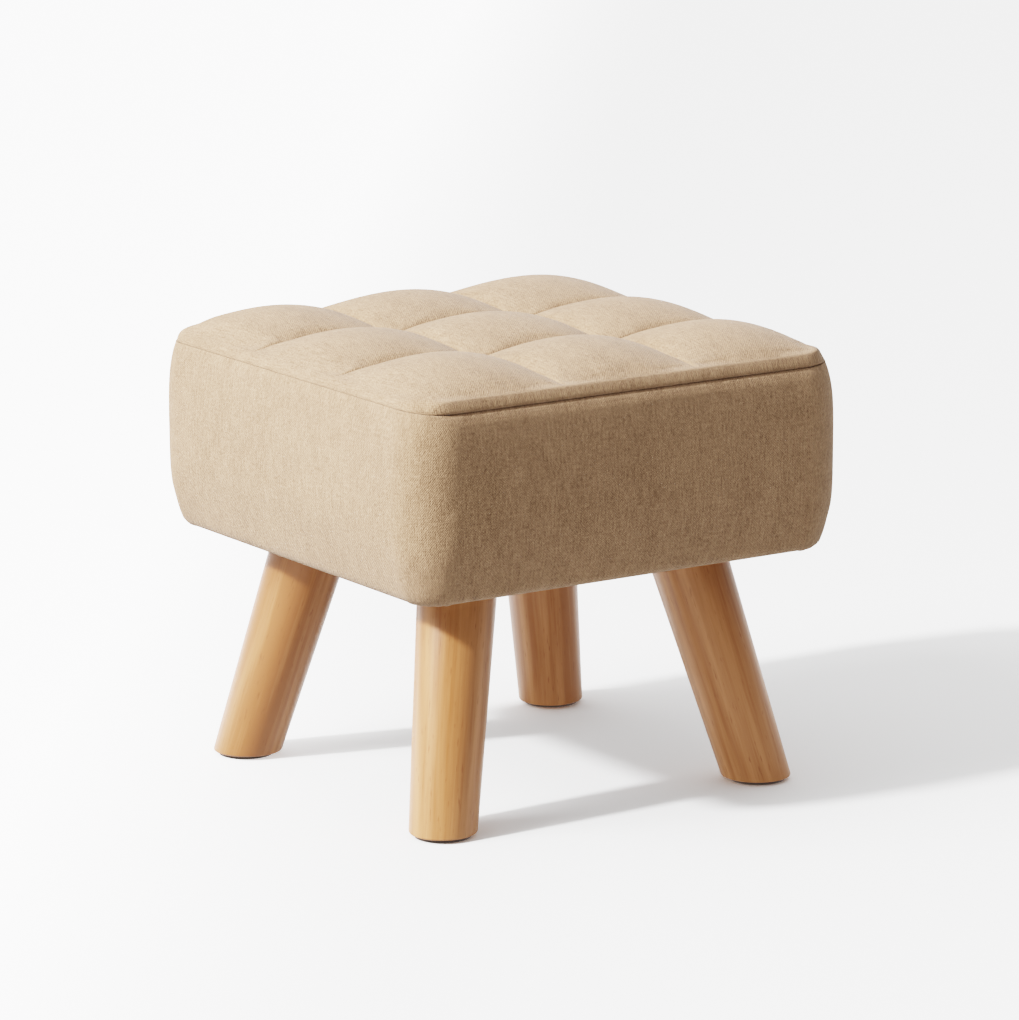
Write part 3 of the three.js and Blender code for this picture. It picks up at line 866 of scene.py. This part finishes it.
underlay = bmesh.new()
bmesh.ops.create_grid(underlay, x_segments=dust_cells, y_segments=dust_cells, size=1)
for vertex in underlay.verts:
    place = vertex.co * dust_half
    from_middle = max(abs(place.x), abs(place.y))
    climb = min(1.0, max(0.0, (dust_half - from_middle - dust_lap) / dust_slope))
    place.z = lap_level + (sheet_level - lap_level) * climb
    sag = sag_depth + sag_unevenness * noise.noise(place * sag_scale)
    place.z -= max(0.0, 1 - from_middle / sag_half) * sag
    vertex.co = place
bmesh.ops.recalc_face_normals(underlay, faces=underlay.faces)
dust_finish = finish_of("black_nonwoven", {"Specular IOR Level": 0.3}, nonwoven)
dust_sheet = piece_of("dust_cloth_sheet", underlay, dust_finish)
modifier = dust_sheet.modifiers.new("thickness", "SOLIDIFY")
modifier.thickness = dust_thickness
modifier.offset = -1
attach(dust_sheet, "root")
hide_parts("dust_cover")


# Staples: flat-wire steel staples, shot through the dust cover and the band into the board.
# They lie square to the edge, a little uneven, as a hand tool leaves them.
staple_crown = 9 * mm
staple_wire = 1.1 * mm
staple_rise = 0.6 * mm
staple_bend = 0.45 * mm
staples_a_side = 8
staple_line = seat_half - 26.5 * mm
staple_end_gap = 9 * mm
staple_drop = 1.0 * mm
staple_drift = (2, 0.8)
staple_turn = 0.12
zinc_dark = (0.47, 0.48, 0.50, 1)
zinc_pale = (0.72, 0.72, 0.71, 1)
dice = random.Random(7)


def bright_zinc(recipe):
    place = recipe.own_place()
    clouds = recipe.grain(place, (260, 260, 260), 4, 0.6)
    fine = recipe.grain(place, (1800, 1800, 1800), 3, 0.6)
    return {"Base Color": recipe.mix(clouds, zinc_dark, zinc_pale),
            "Roughness": clouds * 0.25 + fine * 0.12 + 0.2,
            "Normal": recipe.bump(fine, 0.15, 0.1 * mm)}


zinc_finish = finish_of("zinc_plate", {"Metallic": 1.0}, bright_zinc)
wires = bmesh.new()
for side in range(4):
    for number in range(staples_a_side):
        made = bmesh.ops.create_cube(wires, size=1)["verts"]
        bmesh.ops.scale(wires, vec=(staple_crown, staple_wire, staple_rise), verts=made)
        tips = [edge for edge in {edge for vertex in made for edge in vertex.link_edges}
                if abs(edge.verts[0].co.y - edge.verts[1].co.y) > staple_wire / 2 and edge.verts[0].co.z < 0]
        rounded = bmesh.ops.bevel(wires, geom=tips, offset=staple_bend, segments=3, profile=0.5,
                                  affect="EDGES", material=-1)["verts"]
        made = list({vertex for vertex in made if vertex.is_valid} | set(rounded))
        drift_along, drift_in = (dice.uniform(-drift, drift) * mm for drift in staple_drift)
        along = (2 * (number + 0.5) / staples_a_side - 1) * (staple_line - staple_end_gap) + drift_along
        place = Vector((along, -staple_line + drift_in, seat_underside - staple_drop))
        askew = Matrix.Rotation(dice.uniform(-staple_turn, staple_turn), 3, "Z")
        turn = Matrix.Rotation(side * math.pi / 2, 3, "Z")
        bmesh.ops.rotate(wires, cent=(0, 0, 0), matrix=askew, verts=made)
        bmesh.ops.translate(wires, vec=place, verts=made)
        bmesh.ops.rotate(wires, cent=(0, 0, 0), matrix=turn, verts=made)
staples = piece_of("staples", wires, zinc_finish, math.radians(40))
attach(staples, "root")


# Leg plates: 2 mm steel plates with a drawn boss, tilted to give the leg its splay, zinc plated.
# Four pan-head screws hold each one. The hanger bolt of the leg is screwed into the nut behind it.
plate_edge_radius = 0.35 * mm
weld_reach = 0.001 * mm
corners = ["back_right", "back_left", "front_left", "front_right"]
for corner in corners:
    for part_name in (f"plate_nut_{corner}", f"hanger_bolt_{corner}"):
        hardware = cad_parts[part_name]
        hardware.data.materials.clear()
        hardware.data.materials.append(zinc_finish)
    pressed = bmesh.new()
    pressed.from_mesh(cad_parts[f"leg_plate_{corner}"].data)
    bmesh.ops.remove_doubles(pressed, verts=pressed.verts, dist=weld_reach)
    bmesh.ops.dissolve_limit(pressed, angle_limit=math.radians(1), verts=pressed.verts,
                             edges=pressed.edges)
    plate = piece_of(f"pressed_plate_{corner}", pressed, zinc_finish, math.radians(35))
    modifier = plate.modifiers.new("edges", "BEVEL")
    modifier.width = plate_edge_radius
    modifier.segments = 2
    modifier.limit_method = "ANGLE"
    modifier.angle_limit = math.radians(50)
    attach(plate, "root")
    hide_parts(f"leg_plate_{corner}")


# Plate screws: pan-head steel screws with a cross recess, sixteen in all.
# Each is turned about its own axis by chance, as screws end up.
screw_head_outline = [(0, 0), (1.2, 0.03), (2.4, 0.25), (3.3, 0.7), (3.85, 1.35), (4.0, 2.0), (3.9, 2.4)]
screw_head_height = 2.4 * mm
screw_shank_radius = 2 * mm
screw_point_length = 3 * mm
screw_crown_height = 0.6 * mm
screw_recess_depth = 1.3 * mm
screw_recess_reach = 2.3 * mm
screw_recess_width = 0.55 * mm
screw_recess_taper = 0.6


def screw_shape(low, high):
    """A screw on the Z axis, spun from the head's crown, which looks down at low, to the point at high."""
    made = bmesh.new()
    points = [Vector((radius * mm, 0, low + drop * mm)) for radius, drop in screw_head_outline]
    points += [Vector((screw_shank_radius, 0, low + screw_head_height)),
               Vector((screw_shank_radius, 0, high - screw_point_length)), Vector((0, 0, high))]
    verts = [made.verts.new(point) for point in points]
    chain = [made.edges.new(pair) for pair in zip(verts, verts[1:])]
    bmesh.ops.spin(made, geom=verts + chain, cent=(0, 0, 0), axis=(0, 0, 1), dvec=(0, 0, 0),
                   angle=2 * math.pi, steps=32, use_merge=True)
    bmesh.ops.remove_doubles(made, verts=made.verts, dist=weld_reach)
    for normal in (Vector((1, 0, 0)), Vector((0, 1, 0))):
        for offset in (screw_recess_width, -screw_recess_width, screw_recess_reach, -screw_recess_reach):
            near = [face for face in made.faces if face.calc_center_median().z < low + screw_crown_height]
            geometry = list({part for face in near for part in (*face.verts, *face.edges)}) + near
            bmesh.ops.bisect_plane(made, geom=geometry, plane_co=normal * offset, plane_no=normal,
                                   dist=weld_reach)
    cross = []
    for face in made.faces:
        middle = face.calc_center_median()
        short, far = sorted((abs(middle.x), abs(middle.y)))
        crown = middle.z < low + screw_crown_height
        if crown and short < screw_recess_width and far < screw_recess_reach:
            cross.append(face)
    sunk = bmesh.ops.extrude_face_region(made, geom=cross)["geom"]
    bmesh.ops.delete(made, geom=cross, context="FACES")
    for vertex in [part for part in sunk if isinstance(part, bmesh.types.BMVert)]:
        vertex.co.z = low + screw_recess_depth
        vertex.co.x *= screw_recess_taper
        vertex.co.y *= screw_recess_taper
    bmesh.ops.recalc_face_normals(made, faces=made.faces)
    return made


for corner in corners:
    for number in range(1, 5):
        low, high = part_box(f"plate_screw_{corner}_{number}")
        made = screw_shape(low.z, high.z)
        middle = (low + high) / 2
        turn = Matrix.Rotation(dice.uniform(0, math.pi), 3, "Z")
        bmesh.ops.rotate(made, cent=(0, 0, 0), matrix=turn, verts=made.verts)
        bmesh.ops.translate(made, vec=(middle.x, middle.y, 0), verts=made.verts)
        screw = piece_of(f"pan_screw_{corner}_{number}", made, zinc_finish, math.radians(35))
        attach(screw, "root")
        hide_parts(f"plate_screw_{corner}_{number}")


# Legs: turned from pale rubberwood, tapered to the foot and sawn level there, under clear satin lacquer.
# A hanger bolt in the top end screws each leg into its plate, leaning out along the diagonal.
leg_splay = math.radians(17.6)
leg_top_radius = 23.7 * mm
leg_foot_radius = 20.3 * mm
leg_edge_radius = 1.3 * mm
leg_sides = 96
foot_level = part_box("leg_front_left")[0].z
wood_pale = (0.41, 0.188, 0.078, 1)
wood_gold = (0.255, 0.098, 0.031, 1)
wood_brown = (0.15, 0.050, 0.015, 1)
wood_depths = {"back_right": 0.2, "back_left": 0.4, "front_left": -0.15, "front_right": 0}
ring_spacing = 6.5 * mm
ring_bend = 12 * mm
buried_length = 14 * mm
pith_offset = 0.05
pith_spread = (0.012, 0.03)


def rubberwood(foot, lean, cut, depth):
    """Grain along one leg: cut says where in the plank it comes from, depth how golden it is."""
    def recipe_of(recipe):
        local = recipe.node("ShaderNodeMapping", {"vector_type": "TEXTURE"}, {
            "Vector": recipe.own_place(), "Location": foot, "Rotation": lean})["Vector"]
        place = recipe.shifted(local, cut)
        parts = recipe.parts(place)
        from_pith = ((parts["X"] ** 2) + (parts["Y"] ** 2)).math("SQRT")
        from_pith = from_pith + (recipe.grain(place, (14, 14, 4), 2) - 0.5) * ring_bend
        rings = (from_pith * (2 * math.pi / ring_spacing)).math("SINE") * 0.5 + 0.5
        streaks = recipe.grain(place, (420, 420, 9), 4, 0.6)
        bands = recipe.grain(place, (70, 70, 3.5), 3, 0.6)
        fine = recipe.grain(place, (1800, 1800, 60), 2, 0.5)
        pores = recipe.grain(place, (800, 800, 110), 1, 0.5)
        fleck = ((pores - 0.66) * 9).clamped()
        thread = ((streaks - 0.58) * 5).clamped()
        tone = rings * 0.35 + streaks * 1.3 + bands * 2.6 + fine * 0.3 - (1.85 + depth)
        body = recipe.mix(thread * 0.35, recipe.mix(tone, wood_gold, wood_pale), wood_brown)
        relief = streaks * 0.5 + fine * 0.5 - fleck * 0.5
        return {"Base Color": recipe.mix(fleck * 0.45, body, wood_brown), "Roughness": streaks * 0.12 + 0.34,
                "Normal": recipe.bump(relief, 0.12, 0.2 * mm)}
    return recipe_of


for corner in corners:
    pad_low, pad_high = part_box(f"felt_pad_{corner}")
    foot = Vector(((pad_low.x + pad_high.x) / 2, (pad_low.y + pad_high.y) / 2, 0))
    lean = Euler((0, -leg_splay, math.atan2(foot.y, foot.x)), "XYZ")
    standing = Matrix.Translation(foot) @ lean.to_matrix().to_4x4()
    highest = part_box(f"leg_{corner}")[1].z - (leg_top_radius - leg_edge_radius) * math.sin(leg_splay)
    leg_length = highest / math.cos(leg_splay)
    taper = (leg_top_radius - leg_foot_radius) / leg_length
    turned = bmesh.new()
    bmesh.ops.create_cone(turned, cap_ends=True, segments=leg_sides, depth=leg_length + buried_length,
                          radius1=leg_foot_radius - taper * buried_length, radius2=leg_top_radius)
    bmesh.ops.translate(turned, vec=(0, 0, (leg_length - buried_length) / 2), verts=turned.verts)
    bmesh.ops.transform(turned, matrix=standing, verts=turned.verts)
    everything = turned.verts[:] + turned.edges[:] + turned.faces[:]
    sawn = bmesh.ops.bisect_plane(turned, geom=everything, plane_co=(0, 0, foot_level), plane_no=(0, 0, 1),
                                  clear_inner=True)["geom_cut"]
    bmesh.ops.edgeloop_fill(turned, edges=[part for part in sawn if isinstance(part, bmesh.types.BMEdge)])
    ends = [edge for edge in turned.edges if any(len(face.verts) > 8 for face in edge.link_faces)]
    bmesh.ops.bevel(turned, geom=ends, offset=leg_edge_radius, segments=4, profile=0.5,
                    affect="EDGES", material=-1)
    bmesh.ops.recalc_face_normals(turned, faces=turned.faces)
    off_pith, beside_pith = (dice.uniform(-spread, spread) for spread in pith_spread)
    cut = Vector((pith_offset + off_pith, beside_pith, dice.uniform(0, 1)))
    grain = rubberwood(foot, lean, cut, wood_depths[corner])
    wood = finish_of(f"lacquered_wood_{corner}", {
        "Coat Weight": 0.2, "Coat Roughness": 0.42, "Specular IOR Level": 0.25}, grain)
    leg = piece_of(f"turned_leg_{corner}", turned, wood, math.radians(40))
    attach(leg, "root")
    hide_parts(f"leg_{corner}")


# Felt pads: dark pressed felt discs, stuck on under the feet and a little smaller than them.
# They lift the sawn wood off the floor and leave a thin dark line round the foot.
felt_dark = (0.045, 0.034, 0.027, 1)
felt_pale = (0.120, 0.096, 0.080, 1)
felt_edge_radius = 0.45 * mm


def pressed_felt(recipe):
    tufts = recipe.grain(recipe.own_place(), (1500, 1500, 1500), 4, 0.7)
    return {"Base Color": recipe.mix(tufts, felt_dark, felt_pale),
            "Normal": recipe.bump(tufts, 0.8, 0.3 * mm)}


felt_finish = finish_of("dark_felt", {"Roughness": 1.0, "Sheen Weight": 0.3}, pressed_felt)
for corner in corners:
    low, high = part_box(f"felt_pad_{corner}")
    radius = (high.x - low.x) / 2
    disc = bmesh.new()
    bmesh.ops.create_cone(disc, cap_ends=True, segments=64, radius1=radius, radius2=radius,
                          depth=high.z - low.z)
    bmesh.ops.translate(disc, vec=(low + high) / 2, verts=disc.verts)
    rims = [edge for edge in disc.edges if any(len(face.verts) > 8 for face in edge.link_faces)]
    bmesh.ops.bevel(disc, geom=rims, offset=felt_edge_radius, segments=3, profile=0.5,
                    affect="EDGES", material=-1)
    pad = piece_of(f"felt_disc_{corner}", disc, felt_finish, math.radians(40))
    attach(pad, "root")
    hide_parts(f"felt_pad_{corner}")
